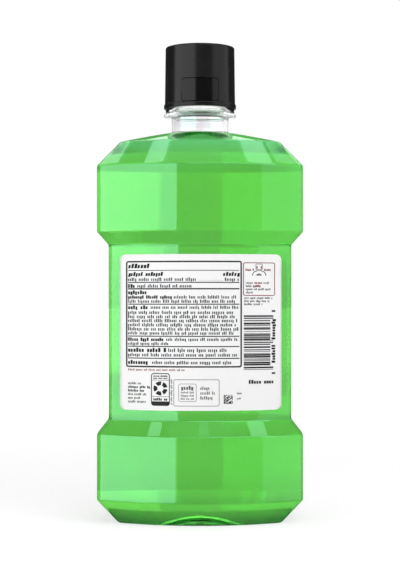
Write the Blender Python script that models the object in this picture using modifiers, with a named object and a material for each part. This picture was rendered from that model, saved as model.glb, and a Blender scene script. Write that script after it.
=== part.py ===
# Clear mouthwash bottle with a squeeze-and-turn dosing cap.
# Metres, +Z up. The origin is the middle of the base, and the labelled side faces -Y.

import math

import bmesh
import bpy
from mathutils import Matrix, Vector

MM = 0.001

# Body in plan: two wide bowed faces, two nearly flat sides, rounded corners
BODY_WIDTH = 105.4 * MM
BODY_DEPTH = 75.0 * MM
FACE_RADIUS = 90.0 * MM
SIDE_RADIUS = 300.0 * MM
BODY_CORNER = 6.5 * MM
WAIST_CORNER = 5.5 * MM
RIM_CORNER = 4.0 * MM

# Body in height, from the base up
BASE_CHAMFER_HEIGHT = 12.1 * MM
LOWER_BAND_HEIGHT = 33.15 * MM
LOWER_CHAMFER_HEIGHT = 7.6 * MM
WAIST_HEIGHT = 88.4 * MM
UPPER_CHAMFER_HEIGHT = 6.6 * MM
UPPER_BAND_HEIGHT = 33.35 * MM
SHOULDER_CHAMFER_HEIGHT = 12.65 * MM
DOME_HEIGHT = 5.4 * MM
BASE_INSET = 10.8 * MM
WAIST_INSET = 5.9 * MM
SHOULDER_INSET = 11.9 * MM
BODY_WALL = 0.8 * MM

# Push-up in the middle of the base
PUSH_UP_WIDTH = 47.0 * MM
PUSH_UP_DEPTH = 26.0 * MM
PUSH_UP_HEIGHT = 7.5 * MM

# Neck, support ring and collar
NECK_RADIUS = 14.6 * MM
NECK_WALL = 1.8 * MM
NECK_HEIGHT = 8.0 * MM
NECK_FILLET = 0.8 * MM
RING_RADIUS = 18.6 * MM
RING_UNDERCUT = 0.5 * MM
RING_EDGE_HEIGHT = 1.1 * MM
RING_EDGE_ROUND = 0.25 * MM
RING_CONE_HEIGHT = 1.25 * MM
COLLAR_HEIGHT = 1.95 * MM
COLLAR_STEP = 1.8 * MM

# Finish above the collar: the threads themselves are too fine for this model
FINISH_RADIUS = 12.7 * MM
FINISH_WALL = 1.8 * MM
FINISH_HEIGHT = 18.1 * MM
LIP_ROUND = 0.3 * MM
BORE_TAPER_HEIGHT = 2.6 * MM

# Ratchet teeth on the collar, one behind each lock tab
TOOTH_HEIGHT = 1.65 * MM
TOOTH_ROOT = 1.2 * MM
TOOTH_FALL = 1.2 * MM
TOOTH_START_DEGREES = 14.0
TOOTH_SPAN_DEGREES = 20.0

# Liquid
FILL_DROP = 1.4 * MM

# Label on the waist
LABEL_WIDTH = 81.4 * MM
LABEL_SHIFT = 0.35 * MM
LABEL_MARGIN_BELOW = 5.2 * MM
LABEL_MARGIN_ABOVE = 5.1 * MM
LABEL_CORNER = 3.0 * MM
LABEL_THICKNESS = 0.25 * MM

# Cap: outer skirt, deck and inner cup in one moulding
THREAD_GAP = 1.2 * MM
CUP_WALL = 1.1 * MM
CUP_FOOT_GAP = 1.0 * MM
CUP_LAND = 1.9 * MM
CUP_DEPTH = 10.15 * MM
SKIRT_GAP = 1.6 * MM
SKIRT_WALL = 1.2 * MM
SKIRT_DRAFT = 0.4 * MM
SKIRT_OVERLAP = 0.2 * MM
DECK_THICKNESS = 1.8 * MM
DECK_ROUND = 0.8 * MM
BEAD_HEIGHT = 2.2 * MM
BEAD_DEPTH = 0.45 * MM
BEAD_CHAMFER = 0.4 * MM

# Squeeze pads in the skirt
PAD_WIDTH = 18.6 * MM
PAD_HEIGHT = 11.4 * MM
PAD_CORNER = 1.5 * MM
PAD_RECESS = 0.15 * MM
PAD_RISE = 0.35 * MM

# Lock tabs under the skirt
TAB_INSET = 0.5 * MM
TAB_THICKNESS = 1.1 * MM
TAB_ROOT_WIDTH = 20.8 * MM
TAB_TIP_WIDTH = 6.4 * MM
TAB_SHOULDER_DROP = 0.9 * MM

# Sealing ring between the lip and the cup's land
SEAL_THICKNESS = 1.0 * MM
SEAL_OVERHANG = 0.7 * MM
SEAL_REACH = 0.1 * MM

# Fits
GAP = 0.3 * MM
RUNNING_GAP = 0.35 * MM
OVERRUN = 2.0 * MM

# Facets
SIDE_STEPS = 4
CORNER_STEPS = 5
FACE_STEPS = 11
RING_COUNT = 4 * (SIDE_STEPS + CORNER_STEPS + FACE_STEPS)
TURN_STEPS = 64
ARC_STEPS = 4
MERGE = 0.00001
SMOOTH_ANGLE = math.radians(30)

# Shares of the push-up's radius and of the dome's run at which their sections lie
PUSH_UP_SHARES = (0.3, 0.6, 0.85, 1.0)
DOME_SHARES = (1.0, 0.7, 0.4, 0.15, 0.0)
DOME_CROWN = 1.15

# Heights of the body's edges above the base
LOWER_BAND_BOTTOM = BASE_CHAMFER_HEIGHT
LOWER_BAND_TOP = LOWER_BAND_BOTTOM + LOWER_BAND_HEIGHT
WAIST_BOTTOM = LOWER_BAND_TOP + LOWER_CHAMFER_HEIGHT
WAIST_TOP = WAIST_BOTTOM + WAIST_HEIGHT
UPPER_BAND_BOTTOM = WAIST_TOP + UPPER_CHAMFER_HEIGHT
UPPER_BAND_TOP = UPPER_BAND_BOTTOM + UPPER_BAND_HEIGHT
RIM_Z = UPPER_BAND_TOP + SHOULDER_CHAMFER_HEIGHT
NECK_ROOT = RIM_Z + DOME_HEIGHT
RING_UNDERSIDE = NECK_ROOT + NECK_HEIGHT
RING_EDGE_BOTTOM = RING_UNDERSIDE + RING_UNDERCUT
RING_EDGE_TOP = RING_EDGE_BOTTOM + RING_EDGE_HEIGHT
COLLAR_FOOT = RING_EDGE_TOP + RING_CONE_HEIGHT
COLLAR_TOP = COLLAR_FOOT + COLLAR_HEIGHT
LIP_Z = COLLAR_TOP + FINISH_HEIGHT
LEVEL_Z = NECK_ROOT - FILL_DROP

# Radii and heights of the cap, built outwards and upwards from the finish
BORE_RADIUS = FINISH_RADIUS - FINISH_WALL
THROAT_RADIUS = NECK_RADIUS - NECK_WALL
CUP_BORE = FINISH_RADIUS + THREAD_GAP
CUP_OUTSIDE = CUP_BORE + CUP_WALL
CUP_MOUTH = COLLAR_TOP + CUP_FOOT_GAP
SKIRT_INSIDE = CUP_OUTSIDE + SKIRT_GAP
SKIRT_OUTSIDE = SKIRT_INSIDE + SKIRT_WALL
SKIRT_FOOT_OUTSIDE = SKIRT_OUTSIDE + SKIRT_DRAFT
SKIRT_FOOT_INSIDE = SKIRT_INSIDE + SKIRT_DRAFT
BEAD_RADIUS = SKIRT_FOOT_OUTSIDE + BEAD_DEPTH
SEAL_BOTTOM = LIP_Z + GAP
SEAL_TOP = SEAL_BOTTOM + SEAL_THICKNESS
LAND_Z = SEAL_TOP + GAP
DECK_UNDERSIDE = LAND_Z + CUP_DEPTH
CAP_TOP = DECK_UNDERSIDE + DECK_THICKNESS
SKIRT_BOTTOM = COLLAR_TOP - SKIRT_OVERLAP
BEAD_TOP = SKIRT_BOTTOM + BEAD_HEIGHT
PAD_BOTTOM = BEAD_TOP + PAD_RISE
PAD_TOP = PAD_BOTTOM + PAD_HEIGHT
TAB_OUTSIDE = SKIRT_FOOT_OUTSIDE - TAB_INSET
TAB_INSIDE = TAB_OUTSIDE - TAB_THICKNESS
TAB_TOP = SKIRT_BOTTOM - GAP
COLLAR_RADIUS = TAB_INSIDE - RUNNING_GAP
COLLAR_TOP_RADIUS = FINISH_RADIUS + COLLAR_STEP

# The label's seat on the waist
LABEL_BOTTOM = WAIST_BOTTOM + LABEL_MARGIN_BELOW
LABEL_TOP = WAIST_TOP - LABEL_MARGIN_ABOVE


def clear_scene():
    for obj in list(bpy.data.objects):
        bpy.data.objects.remove(obj, do_unlink=True)
    for group in list(bpy.data.collections):
        bpy.data.collections.remove(group)


def new_collection(name):
    group = bpy.data.collections.new(name)
    bpy.context.scene.collection.children.link(group)
    return group


def material(name, colour, roughness, alpha=1.0, transmission=0.0):
    mat = bpy.data.materials.new(name)
    mat.use_nodes = True
    shader = mat.node_tree.nodes["Principled BSDF"]
    shader.inputs["Base Color"].default_value = (*colour, 1.0)
    shader.inputs["Roughness"].default_value = roughness
    shader.inputs["Metallic"].default_value = 0.0
    shader.inputs["Alpha"].default_value = alpha
    shader.inputs["Transmission Weight"].default_value = transmission
    return mat


def add_object(name, mesh, group, mat=None):
    obj = bpy.data.objects.new(name, mesh)
    group.objects.link(obj)
    if mat is not None:
        mesh.materials.append(mat)
    return obj


def as_cutter(obj):
    obj.hide_render = True
    obj.display_type = "WIRE"
    return obj


def shade(obj):
    obj.data.shade_smooth()
    obj.data.set_sharp_from_angle(angle=SMOOTH_ANGLE)


def boolean(obj, operation, other):
    modifier = obj.modifiers.new(f"{operation.lower()}_{other.name}", "BOOLEAN")
    modifier.operation = operation
    modifier.solver = "EXACT"
    modifier.object = other


def evaluated_mesh(obj):
    bpy.context.view_layer.update()
    return bpy.data.meshes.new_from_object(obj.evaluated_get(bpy.context.evaluated_depsgraph_get()))


# Applies an object's modifiers, then moves its origin to its joint's axis and leaves the shape where it is
def hang_on(obj, point, axis):
    obj.data = evaluated_mesh(obj)
    obj.modifiers.clear()
    obj.data.transform(Matrix.Translation(-Vector(point)))
    obj.parent = axis
    obj.location = Vector(point) - axis.location


# Quarter of the body's outline from +X to +Y: side arc, corner arc, face arc.
# The arcs keep their centres at every inset, so chamfers keep one slope all round.
def quarter_outline(inset, corner):
    face_radius = FACE_RADIUS - inset
    side_radius = SIDE_RADIUS - inset
    face_centre = Vector((0, BODY_DEPTH / 2 - FACE_RADIUS))
    side_centre = Vector((BODY_WIDTH / 2 - SIDE_RADIUS, 0))
    reach_face = face_radius - corner
    reach_side = side_radius - corner
    between = face_centre - side_centre
    distance = between.length
    along = (reach_side**2 - reach_face**2 + distance**2) / (2 * distance)
    across = math.sqrt(reach_side**2 - along**2)
    unit = between.normalized()
    corner_centre = side_centre + unit * along + Vector((-unit.y, unit.x)) * across
    to_side = corner_centre - side_centre
    to_face = corner_centre - face_centre
    side_end = math.atan2(to_side.y, to_side.x)
    face_start = math.atan2(to_face.y, to_face.x)
    arcs = (
        (side_centre, side_radius, 0, side_end, SIDE_STEPS),
        (corner_centre, corner, side_end, face_start, CORNER_STEPS),
        (face_centre, face_radius, face_start, math.pi / 2, FACE_STEPS),
    )
    points = []
    for centre, radius, start, end, steps in arcs:
        for step in range(steps):
            angle = start + (end - start) * step / steps
            points.append((centre.x + radius * math.cos(angle), centre.y + radius * math.sin(angle)))
    points.append((0, face_centre.y + face_radius))
    return points


def outline(inset, corner):
    quarter = quarter_outline(inset, corner)
    back = quarter[::-1]
    return (
        quarter[:-1]
        + [(-x, y) for x, y in back[:-1]]
        + [(-x, -y) for x, y in quarter[:-1]]
        + [(x, -y) for x, y in back[:-1]]
    )


def ellipse(half_width, half_depth):
    turns = [math.tau * step / RING_COUNT for step in range(RING_COUNT)]
    return [(half_width * math.cos(turn), half_depth * math.sin(turn)) for turn in turns]


def circle(radius):
    return ellipse(radius, radius)


def section(points, z):
    return [(x, y, z) for x, y in points]


def blend(first, second, share):
    return [
        (x0 + (x1 - x0) * share, y0 + (y1 - y0) * share)
        for (x0, y0), (x1, y1) in zip(first, second)
    ]


# Closed solid through a list of sections with the same number of points
def loft(name, sections, group, mat=None, closed=False):
    build = bmesh.new()
    rings = [[build.verts.new(point) for point in ring] for ring in sections]
    pairs = list(zip(rings, rings[1:]))
    if closed:
        pairs.append((rings[-1], rings[0]))
    else:
        build.faces.new(rings[0][::-1])
        build.faces.new(rings[-1])
    for low, high in pairs:
        for k in range(RING_COUNT):
            after = (k + 1) % RING_COUNT
            build.faces.new((low[k], low[after], high[after], high[k]))
    bmesh.ops.recalc_face_normals(build, faces=build.faces)
    mesh = bpy.data.meshes.new(name)
    build.to_mesh(mesh)
    build.free()
    obj = add_object(name, mesh, group, mat)
    shade(obj)
    return obj


# Body sections from the push-up's middle to the shoulder rim, a given depth inside the surface
def body_sections(depth):
    sections = []
    for share in PUSH_UP_SHARES:
        rise = depth + PUSH_UP_HEIGHT * (1 - share**2)
        points = ellipse(PUSH_UP_WIDTH / 2 * share, PUSH_UP_DEPTH / 2 * share)
        sections.append(section(points, rise))
    edges = (
        (depth, BASE_INSET, RIM_CORNER),
        (LOWER_BAND_BOTTOM, 0, BODY_CORNER),
        (LOWER_BAND_TOP, 0, BODY_CORNER),
        (WAIST_BOTTOM, WAIST_INSET, WAIST_CORNER),
        (WAIST_TOP, WAIST_INSET, WAIST_CORNER),
        (UPPER_BAND_BOTTOM, 0, BODY_CORNER),
        (UPPER_BAND_TOP, 0, BODY_CORNER),
    )
    for z, inset, corner in edges:
        sections.append(section(outline(inset + depth, corner - depth), z))
    return sections


# Dome from the shoulder rim in to the neck, a given depth inside the surface
def dome_section(depth, throat, share):
    rim = outline(SHOULDER_INSET + depth, RIM_CORNER - depth)
    return section(blend(circle(throat), rim, share), NECK_ROOT - depth - DOME_HEIGHT * share**DOME_CROWN)


def dome_sections(depth, throat):
    return [dome_section(depth, throat, share) for share in DOME_SHARES]


def turned_sections(profile):
    return [section(circle(radius), z) for radius, z in profile]


# One ratchet tooth in plan: a steep face towards the tab and a ramp that falls away from it
def tooth_points(side):
    start = math.radians(TOOTH_START_DEGREES) + (math.pi if side < 0 else 0)
    span = math.radians(TOOTH_SPAN_DEGREES)
    inner = COLLAR_TOP_RADIUS - TOOTH_ROOT
    shares = [step / ARC_STEPS for step in range(ARC_STEPS + 1)]
    crest = [(COLLAR_RADIUS - TOOTH_FALL * share, start + span * share) for share in shares]
    root = [(inner, start + span), (inner, start)]
    return [(radius * math.cos(turn), radius * math.sin(turn)) for radius, turn in crest + root]


# Flat outline given thickness, as a curve that is made a mesh so that booleans can use it
def prism(name, points, depth, group, turn=None, place=(0, 0, 0)):
    curve = bpy.data.curves.new(name, "CURVE")
    curve.dimensions = "2D"
    curve.fill_mode = "BOTH"
    curve.extrude = depth / 2
    spline = curve.splines.new("POLY")
    spline.points.add(len(points) - 1)
    for target, (x, y) in zip(spline.points, points):
        target.co = (x, y, 0, 1)
    spline.use_cyclic_u = True
    source = bpy.data.objects.new(name + "_curve", curve)
    group.objects.link(source)
    source.matrix_world = Matrix.Translation(place) @ (turn or Matrix())
    mesh = evaluated_mesh(source)
    build = bmesh.new()
    build.from_mesh(mesh)
    bmesh.ops.remove_doubles(build, verts=build.verts, dist=MERGE)
    bmesh.ops.recalc_face_normals(build, faces=build.faces)
    build.to_mesh(mesh)
    build.free()
    obj = add_object(name, mesh, group)
    obj.matrix_world = source.matrix_world
    bpy.data.objects.remove(source, do_unlink=True)
    return as_cutter(obj)


def rounded_rectangle(width, height, corner):
    points = []
    middles = (
        (width / 2 - corner, height / 2 - corner),
        (corner - width / 2, height / 2 - corner),
        (corner - width / 2, corner - height / 2),
        (width / 2 - corner, corner - height / 2),
    )
    for quarter, (x, y) in enumerate(middles):
        for step in range(ARC_STEPS + 1):
            turn = math.pi / 2 * (quarter + step / ARC_STEPS)
            points.append((x + corner * math.cos(turn), y + corner * math.sin(turn)))
    return points


# Turned solid: a profile of (radius, z) down the outer side, carried round by a Screw
def turned(name, profile, group, mat=None, closed=False):
    mesh = bpy.data.meshes.new(name)
    edges = [(k, k + 1) for k in range(len(profile) - 1)]
    if closed:
        edges.append((len(profile) - 1, 0))
    mesh.from_pydata([(radius, 0, z) for radius, z in profile], edges, [])
    obj = add_object(name, mesh, group, mat)
    screw = obj.modifiers.new("turn", "SCREW")
    screw.axis = "Z"
    screw.steps = TURN_STEPS
    screw.render_steps = TURN_STEPS
    screw.use_merge_vertices = True
    screw.merge_threshold = MERGE
    screw.use_smooth_shade = True
    return obj


def skirt_radius(foot_radius, z):
    share = (CAP_TOP - z) / (CAP_TOP - SKIRT_BOTTOM)
    return foot_radius - SKIRT_DRAFT * (1 - share)


def make_bottle(parts, cutters, clear_pet):
    lip_inner = BORE_RADIUS + LIP_ROUND
    outer_neck = [
        (NECK_RADIUS, NECK_ROOT + NECK_FILLET),
        (NECK_RADIUS, RING_UNDERSIDE),
        (RING_RADIUS - RING_EDGE_ROUND, RING_EDGE_BOTTOM),
        (RING_RADIUS, RING_EDGE_BOTTOM + RING_EDGE_ROUND),
        (RING_RADIUS, RING_EDGE_TOP - RING_EDGE_ROUND),
        (RING_RADIUS - RING_EDGE_ROUND, RING_EDGE_TOP),
        (COLLAR_RADIUS, COLLAR_FOOT),
        (COLLAR_TOP_RADIUS, COLLAR_TOP),
        (FINISH_RADIUS, COLLAR_TOP),
        (FINISH_RADIUS, LIP_Z - LIP_ROUND),
        (FINISH_RADIUS - LIP_ROUND, LIP_Z),
    ]
    inner_neck = [
        (lip_inner, LIP_Z),
        (BORE_RADIUS, LIP_Z - LIP_ROUND),
        (BORE_RADIUS, RING_UNDERSIDE + BORE_TAPER_HEIGHT),
        (THROAT_RADIUS, RING_UNDERSIDE),
    ]
    outer = body_sections(0) + dome_sections(0, NECK_RADIUS + NECK_FILLET) + turned_sections(outer_neck)
    inner = body_sections(BODY_WALL) + dome_sections(BODY_WALL, THROAT_RADIUS)
    bottle = loft("bottle", outer + turned_sections(inner_neck) + inner[::-1], parts, clear_pet)
    for side, name in ((1, "tooth_right"), (-1, "tooth_left")):
        place = (0, 0, COLLAR_FOOT + TOOTH_HEIGHT / 2)
        tooth = prism(name, tooth_points(side), TOOTH_HEIGHT, cutters, place=place)
        boolean(bottle, "UNION", tooth)
    return bottle


def make_liquid(parts, liquid):
    depth = BODY_WALL + GAP
    throat = THROAT_RADIUS - GAP
    level_share = ((NECK_ROOT - depth - LEVEL_Z) / DOME_HEIGHT) ** (1 / DOME_CROWN)
    sections = body_sections(depth)
    sections += [dome_section(depth, throat, share) for share in DOME_SHARES if share > level_share]
    sections.append(dome_section(depth, throat, level_share))
    return loft("mouthwash", sections, parts, liquid)


# Curved panel cut from a lofted sleeve round the waist by a rounded rectangle
def make_label(parts, cutters, paper):
    inside = outline(WAIST_INSET - GAP, WAIST_CORNER + GAP)
    outside = outline(WAIST_INSET - GAP - LABEL_THICKNESS, WAIST_CORNER + GAP + LABEL_THICKNESS)
    sleeve = [
        section(outside, LABEL_BOTTOM - OVERRUN),
        section(outside, LABEL_TOP + OVERRUN),
        section(inside, LABEL_TOP + OVERRUN),
        section(inside, LABEL_BOTTOM - OVERRUN),
    ]
    label = loft("back_label", sleeve, parts, paper, closed=True)
    shape = rounded_rectangle(LABEL_WIDTH, LABEL_TOP - LABEL_BOTTOM, LABEL_CORNER)
    upright = Matrix.Rotation(math.pi / 2, 4, "X")
    place = (LABEL_SHIFT, -BODY_DEPTH / 2, (LABEL_TOP + LABEL_BOTTOM) / 2)
    boolean(label, "INTERSECT", prism("label_outline", shape, BODY_DEPTH, cutters, upright, place))
    return label


def make_cap(parts, cutters, black):
    top_arc = []
    for step in range(ARC_STEPS + 1):
        turn = math.pi / 2 * (1 - step / ARC_STEPS)
        out = SKIRT_OUTSIDE - DECK_ROUND + DECK_ROUND * math.cos(turn)
        top_arc.append((out, CAP_TOP - DECK_ROUND + DECK_ROUND * math.sin(turn)))
    profile = [(0, CAP_TOP)] + top_arc + [
        (skirt_radius(SKIRT_FOOT_OUTSIDE, BEAD_TOP), BEAD_TOP),
        (BEAD_RADIUS, BEAD_TOP - BEAD_CHAMFER),
        (BEAD_RADIUS, SKIRT_BOTTOM + BEAD_CHAMFER),
        (BEAD_RADIUS - BEAD_CHAMFER, SKIRT_BOTTOM),
        (SKIRT_FOOT_INSIDE, SKIRT_BOTTOM),
        (SKIRT_INSIDE, DECK_UNDERSIDE),
        (CUP_OUTSIDE, DECK_UNDERSIDE),
        (CUP_OUTSIDE, CUP_MOUTH),
        (CUP_BORE, CUP_MOUTH),
        (CUP_BORE, LAND_Z),
        (CUP_BORE - CUP_LAND, LAND_Z),
        (CUP_BORE - CUP_LAND, DECK_UNDERSIDE),
        (0, DECK_UNDERSIDE),
    ]
    cap = turned("cap_shell", profile, parts, black)
    window = rounded_rectangle(PAD_WIDTH + 2 * GAP, PAD_HEIGHT + 2 * GAP, PAD_CORNER + GAP)
    upright = Matrix.Rotation(math.pi / 2, 4, "X")
    place = (0, 0, (PAD_TOP + PAD_BOTTOM) / 2)
    depth = 2 * (BEAD_RADIUS + OVERRUN)
    windows = prism("pad_windows", window, depth, cutters, upright, place)
    keep_radius = CUP_OUTSIDE + GAP
    keep = [
        (0, PAD_TOP + OVERRUN),
        (keep_radius, PAD_TOP + OVERRUN),
        (keep_radius, PAD_BOTTOM - OVERRUN),
        (0, PAD_BOTTOM - OVERRUN),
    ]
    boolean(windows, "DIFFERENCE", as_cutter(turned("cup_keep", keep, cutters)))
    boolean(cap, "DIFFERENCE", windows)
    return cap


# Pad as a piece of the skirt's own wall, hinged along its top edge
def make_pad(name, side, parts, cutters, black, axis):
    blank = [
        (skirt_radius(SKIRT_FOOT_OUTSIDE, PAD_TOP + OVERRUN) - PAD_RECESS, PAD_TOP + OVERRUN),
        (skirt_radius(SKIRT_FOOT_OUTSIDE, PAD_BOTTOM - OVERRUN) - PAD_RECESS, PAD_BOTTOM - OVERRUN),
        (skirt_radius(SKIRT_FOOT_INSIDE, PAD_BOTTOM - OVERRUN), PAD_BOTTOM - OVERRUN),
        (skirt_radius(SKIRT_FOOT_INSIDE, PAD_TOP + OVERRUN), PAD_TOP + OVERRUN),
    ]
    pad = turned(name, blank, parts, black, closed=True)
    shape = rounded_rectangle(PAD_WIDTH, PAD_HEIGHT, PAD_CORNER)
    upright = Matrix.Rotation(math.pi / 2, 4, "X")
    place = (0, side * BEAD_RADIUS, (PAD_TOP + PAD_BOTTOM) / 2)
    boolean(pad, "INTERSECT", prism(name + "_outline", shape, BEAD_RADIUS, cutters, upright, place))
    hinge_radius = skirt_radius(SKIRT_FOOT_OUTSIDE, PAD_TOP) - SKIRT_WALL / 2
    hang_on(pad, (0, side * hinge_radius, PAD_TOP), axis)
    return pad


# Tab under the skirt whose lower edge follows the cone of the support ring
def make_tab(name, side, parts, cutters, black, axis):
    cone_slope = RING_CONE_HEIGHT / (RING_RADIUS - RING_EDGE_ROUND - COLLAR_RADIUS)
    inner_tip = COLLAR_FOOT - cone_slope * (TAB_INSIDE - COLLAR_RADIUS) + RUNNING_GAP
    outer_tip = COLLAR_FOOT - cone_slope * (TAB_OUTSIDE - COLLAR_RADIUS) + RUNNING_GAP
    blank = [(TAB_OUTSIDE, TAB_TOP), (TAB_OUTSIDE, outer_tip), (TAB_INSIDE, inner_tip), (TAB_INSIDE, TAB_TOP)]
    tab = turned(name, blank, parts, black, closed=True)
    shoulder = TAB_TOP - TAB_SHOULDER_DROP
    low = outer_tip - OVERRUN
    shape = [
        (-TAB_ROOT_WIDTH / 2, TAB_TOP + OVERRUN),
        (-TAB_ROOT_WIDTH / 2, TAB_TOP - GAP),
        (-TAB_TIP_WIDTH / 2, shoulder),
        (-TAB_TIP_WIDTH / 2, low),
        (TAB_TIP_WIDTH / 2, low),
        (TAB_TIP_WIDTH / 2, shoulder),
        (TAB_ROOT_WIDTH / 2, TAB_TOP - GAP),
        (TAB_ROOT_WIDTH / 2, TAB_TOP + OVERRUN),
    ]
    sideways = Matrix.Rotation(math.pi / 2, 4, "Z") @ Matrix.Rotation(math.pi / 2, 4, "X")
    place = (side * RING_RADIUS, 0, 0)
    boolean(tab, "INTERSECT", prism(name + "_outline", shape, RING_RADIUS, cutters, sideways, place))
    hang_on(tab, (side * TAB_INSIDE, 0, TAB_TOP), axis)
    return tab


def make_seal(parts, foam):
    inner = BORE_RADIUS + SEAL_REACH
    outer = FINISH_RADIUS + SEAL_OVERHANG
    profile = [(outer, SEAL_TOP), (outer, SEAL_BOTTOM), (inner, SEAL_BOTTOM), (inner, SEAL_TOP)]
    return turned("seal_ring", profile, parts, foam, closed=True)


def main():
    clear_scene()
    parts = new_collection("mouthwash_bottle")
    cutters = new_collection("cutters")
    clear_pet = material("clear_pet", (0.86, 0.95, 0.9), 0.05, alpha=0.35, transmission=0.9)
    liquid = material("green_liquid", (0.1, 0.62, 0.1), 0.05, alpha=0.8, transmission=0.8)
    paper = material("label_paper", (0.93, 0.93, 0.92), 0.6)
    black = material("black_polypropylene", (0.02, 0.02, 0.02), 0.35)
    foam = material("seal_foam", (0.85, 0.85, 0.82), 0.7)
    axis = bpy.data.objects.new("cap_axis", None)
    parts.objects.link(axis)
    axis.location = (0, 0, SKIRT_BOTTOM)
    make_bottle(parts, cutters, clear_pet)
    make_liquid(parts, liquid)
    make_label(parts, cutters, paper)
    hang_on(make_seal(parts, foam), axis.location, axis)
    hang_on(make_cap(parts, cutters, black), axis.location, axis)
    make_pad("squeeze_pad_near", -1, parts, cutters, black, axis)
    make_pad("squeeze_pad_far", 1, parts, cutters, black, axis)
    make_tab("lock_tab_left", -1, parts, cutters, black, axis)
    make_tab("lock_tab_right", 1, parts, cutters, black, axis)
    bpy.context.view_layer.update()


main()
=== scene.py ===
import math

import bpy
import numpy as np
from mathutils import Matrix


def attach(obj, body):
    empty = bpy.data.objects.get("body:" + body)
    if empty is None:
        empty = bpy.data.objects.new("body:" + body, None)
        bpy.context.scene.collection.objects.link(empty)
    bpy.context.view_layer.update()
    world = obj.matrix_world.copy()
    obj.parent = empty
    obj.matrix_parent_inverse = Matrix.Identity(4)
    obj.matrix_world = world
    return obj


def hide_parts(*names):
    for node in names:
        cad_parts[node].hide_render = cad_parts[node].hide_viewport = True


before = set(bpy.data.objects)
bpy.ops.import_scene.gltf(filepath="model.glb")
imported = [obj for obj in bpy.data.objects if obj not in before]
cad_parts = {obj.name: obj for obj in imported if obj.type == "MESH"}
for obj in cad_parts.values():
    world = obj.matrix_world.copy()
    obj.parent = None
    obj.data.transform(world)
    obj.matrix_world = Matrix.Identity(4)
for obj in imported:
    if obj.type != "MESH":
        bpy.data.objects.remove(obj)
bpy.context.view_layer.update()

mm = 0.001
columns = 256    # points round every ring, a multiple of four
fullTurn = 2 * math.pi
turns = np.arange(columns) / columns    # share of a turn, 0 at +X, anticlockwise from above
print("frame loaded:", len(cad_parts), "nodes")


# Shader writing

class Wire:    # an output socket whose arithmetic adds Math nodes
    def __init__(self, tree, socket):
        self.tree = tree
        self.socket = socket

    def maths(self, operation, first, second):
        return addNode(self.tree, "Math", {0: first, 1: second}, operation=operation)

    def __add__(self, other):
        return self.maths("ADD", self, other)

    def __sub__(self, other):
        return self.maths("SUBTRACT", self, other)

    def __rsub__(self, other):
        return self.maths("SUBTRACT", other, self)

    def __mul__(self, other):
        return self.maths("MULTIPLY", self, other)

    def __lt__(self, other):
        return self.maths("LESS_THAN", self, other)

    def __gt__(self, other):
        return self.maths("GREATER_THAN", self, other)

    __radd__ = __add__
    __rmul__ = __mul__


# Adds one node: its settings are set first, then a value or a wire for each socket
def addNode(tree, kind, sockets=None, output=0, **settings):
    node = tree.nodes.new("ShaderNode" + kind)
    for key, value in settings.items():
        setattr(node, key, value)
    for key, value in (sockets or {}).items():
        if isinstance(value, Wire):
            tree.links.new(value.socket, node.inputs[key])
        else:
            node.inputs[key].default_value = value
    return Wire(tree, node.outputs[output]) if node.outputs else None


# A coordinate of the point that is shaded: its place on the piece, unless another is named
def placeOn(tree, coordinate="Object"):
    return addNode(tree, "TexCoord", output=coordinate)


# One axis of a place or a direction
def axisOf(place, axis):
    return addNode(place.tree, "SeparateXYZ", {0: place}, axis)


def lengthOf(place):
    return addNode(place.tree, "VectorMath", {0: place}, "Value", operation="LENGTH")


# How far out a place is from the upright middle line: 1 on an oval this wide and deep in
# millimetres.
def farOut(place, width, depth):
    shares = 2 / (width * mm), 2 / (depth * mm), 0
    return lengthOf(addNode(place.tree, "VectorMath", {0: place, 1: shares}, operation="MULTIPLY"))


# Goes smoothly from one value to another between two marks
def eased(wire, marks, first=0.0, last=1.0):
    sockets = {0: wire, 1: marks[0], 2: marks[1], 3: first, 4: last}
    return addNode(wire.tree, "MapRange", sockets, interpolation_type="SMOOTHSTEP")


# Goes smoothly from one value to another between two heights in millimetres
def byHeight(height, marks, first=0.0, last=1.0):
    return eased(height, [mark * mm for mark in marks], first, last)


# New material: its constant shader values go straight onto the Principled sockets
def newFinish(name, **values):
    finish = bpy.data.materials.new(name)
    finish.use_nodes = True
    tree = finish.node_tree
    shader = tree.nodes["Principled BSDF"]
    for key, value in values.items():
        shader.inputs[key.replace("_", " ")].default_value = value
    return finish, tree, shader


# Noise on Object coordinates, about 0 to 1, with features of the given size in metres
def grain(tree, size, detail=2.0, stretch=(1, 1, 1)):
    stretched = addNode(tree, "Mapping", {"Vector": placeOn(tree), "Scale": stretch})
    sockets = {"Vector": stretched, "Scale": 1 / size, "Detail": detail}
    return addNode(tree, "TexNoise", sockets)


# From one colour to another: each is three numbers or a wire
def mixColour(tree, share, first, second):
    ends = [colour if isinstance(colour, Wire) else (*colour, 1) for colour in (first, second)]
    return addNode(tree, "Mix", {0: share, 6: ends[0], 7: ends[1]}, 2, data_type="RGBA")


def bumpOf(tree, height, distance, strength=1.0):
    sockets = {"Height": height, "Distance": distance, "Strength": strength}
    return addNode(tree, "Bump", sockets)


def feed(tree, shader, **wires):
    for key, wire in wires.items():
        tree.links.new(wire.socket, shader.inputs[key.replace("_", " ")])


# Mesh building

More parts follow.
